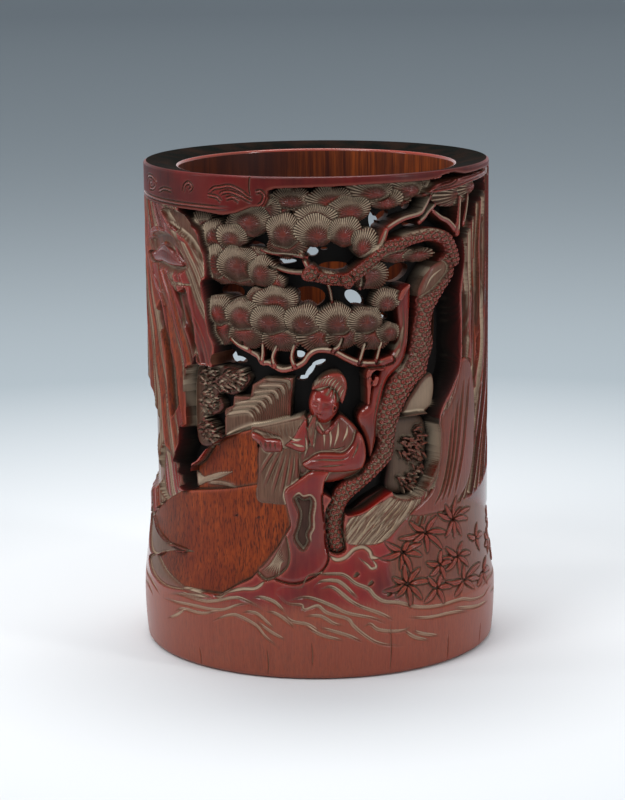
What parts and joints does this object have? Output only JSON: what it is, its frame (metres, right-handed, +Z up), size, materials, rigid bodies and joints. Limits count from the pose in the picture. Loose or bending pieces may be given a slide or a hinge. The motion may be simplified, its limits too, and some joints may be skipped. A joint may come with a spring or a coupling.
{
  "type": "brush pot",
  "caption": "Upright cylindrical bamboo pot for writing brushes, carved in openwork with a pine, rocks and a seated figure, with a floor let in from below.",
  "frame": {"origin": "centre of the underside, on the surface the pot stands on", "axes": "+Z up along the pot's axis, main carved scene facing -Y, +X to the right of the scene"},
  "size_m": [0.118, 0.118, 0.16],
  "materials": {
    "lacquered_bamboo": "polished red-brown patina over carved bamboo",
    "floor_wood": "plain waxed bamboo board",
    "pin_bamboo": "raw split bamboo"
  },
  "bodies": {
    "root": {"culm": "lacquered_bamboo", "floor_disc": "floor_wood", "seam_pin_1": "pin_bamboo", "seam_pin_2": "pin_bamboo", "seam_pin_3": "pin_bamboo", "seam_pin_4": "pin_bamboo"}
  },
  "joints": []
}
